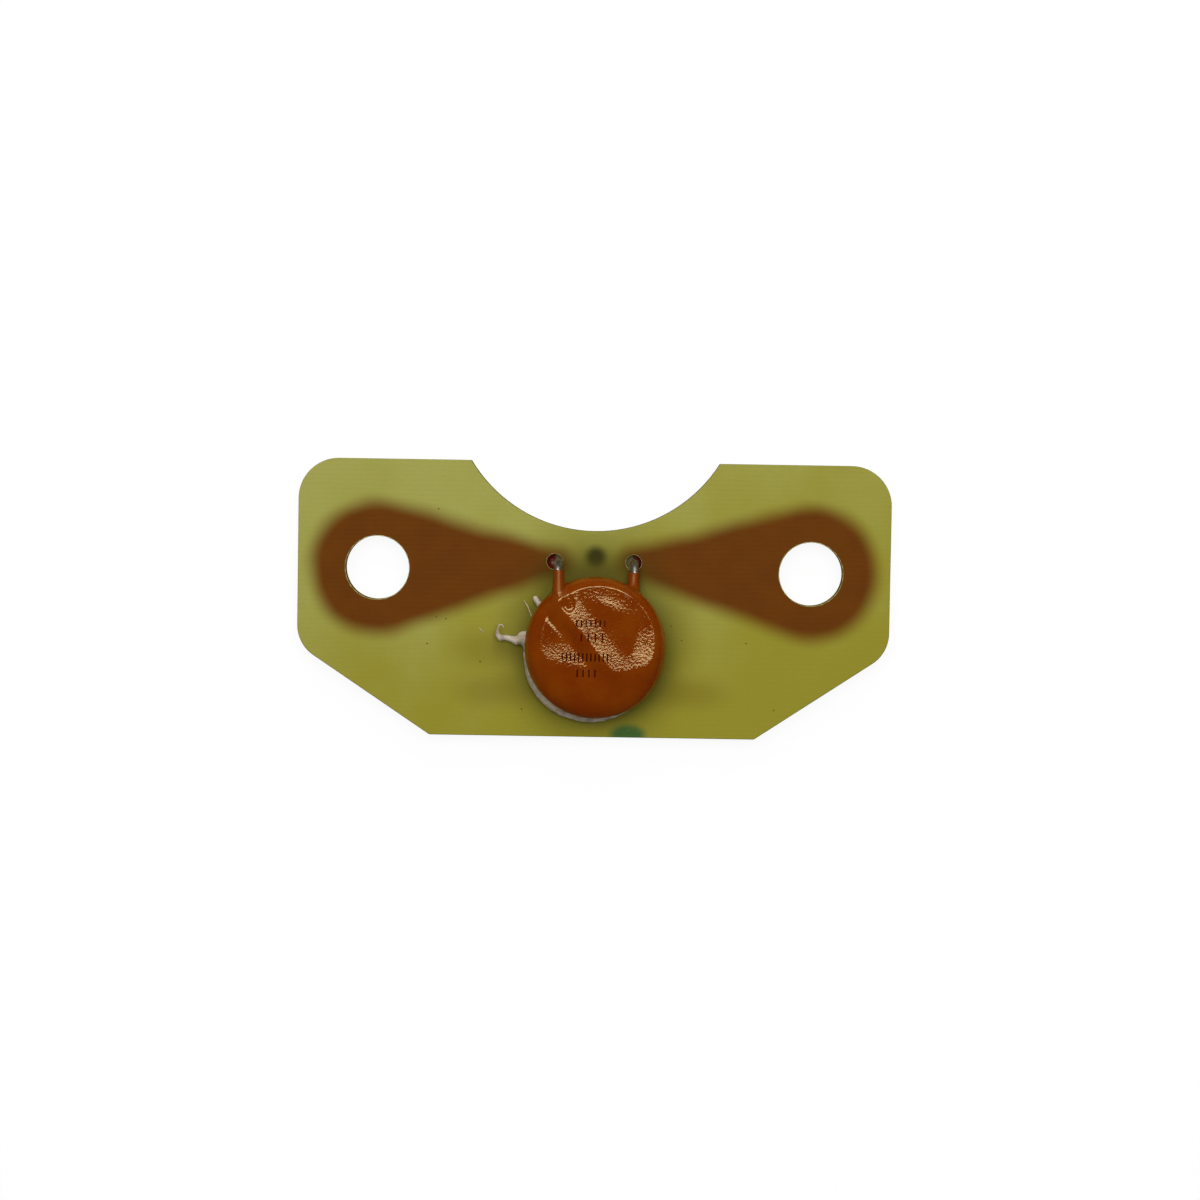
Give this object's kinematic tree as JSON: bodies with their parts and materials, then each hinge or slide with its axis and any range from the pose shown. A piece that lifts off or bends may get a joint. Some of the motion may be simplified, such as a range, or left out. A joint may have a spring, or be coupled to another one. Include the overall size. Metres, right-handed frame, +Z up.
{
  "type": "varistor board",
  "caption": "Disc varistor lying on a small notched circuit board with screw holes at both ends, copper teardrops below, soldered leads and silicone adhesive.",
  "frame": {"origin": "midway between the two mounting holes, in the plane of the copper foil's outer face, which is the board's mounting face", "axes": "+X along the line of the mounting holes, +Y towards the notched edge, +Z up through the board towards the varistor"},
  "size_m": [0.0616, 0.0286, 0.0074],
  "materials": {
    "laminate": "bare glass-epoxy laminate without solder mask, satin",
    "copper": "bare copper foil, slightly dulled",
    "solder": "smooth tin-lead solder",
    "tinned_wire": "tinned copper wire, semi-bright",
    "zinc_oxide": "sintered zinc oxide, matte dark grey",
    "silver": "fired silver, matte",
    "epoxy": "dipped epoxy coating, glossy with a fine orange-peel surface",
    "silicone": "cured white silicone adhesive, slightly translucent"
  },
  "bodies": {
    "root": {"board": "laminate", "foil_left": "copper", "foil_right": "copper", "solder_joint_left": "solder", "solder_joint_right": "solder", "lead_left": "tinned_wire", "lead_right": "tinned_wire", "zinc_oxide_disc": "zinc_oxide", "electrode_upper": "silver", "electrode_lower": "silver", "electrode_solder_upper": "solder", "electrode_solder_lower": "solder", "coating": "epoxy", "adhesive": "silicone"}
  },
  "joints": []
}
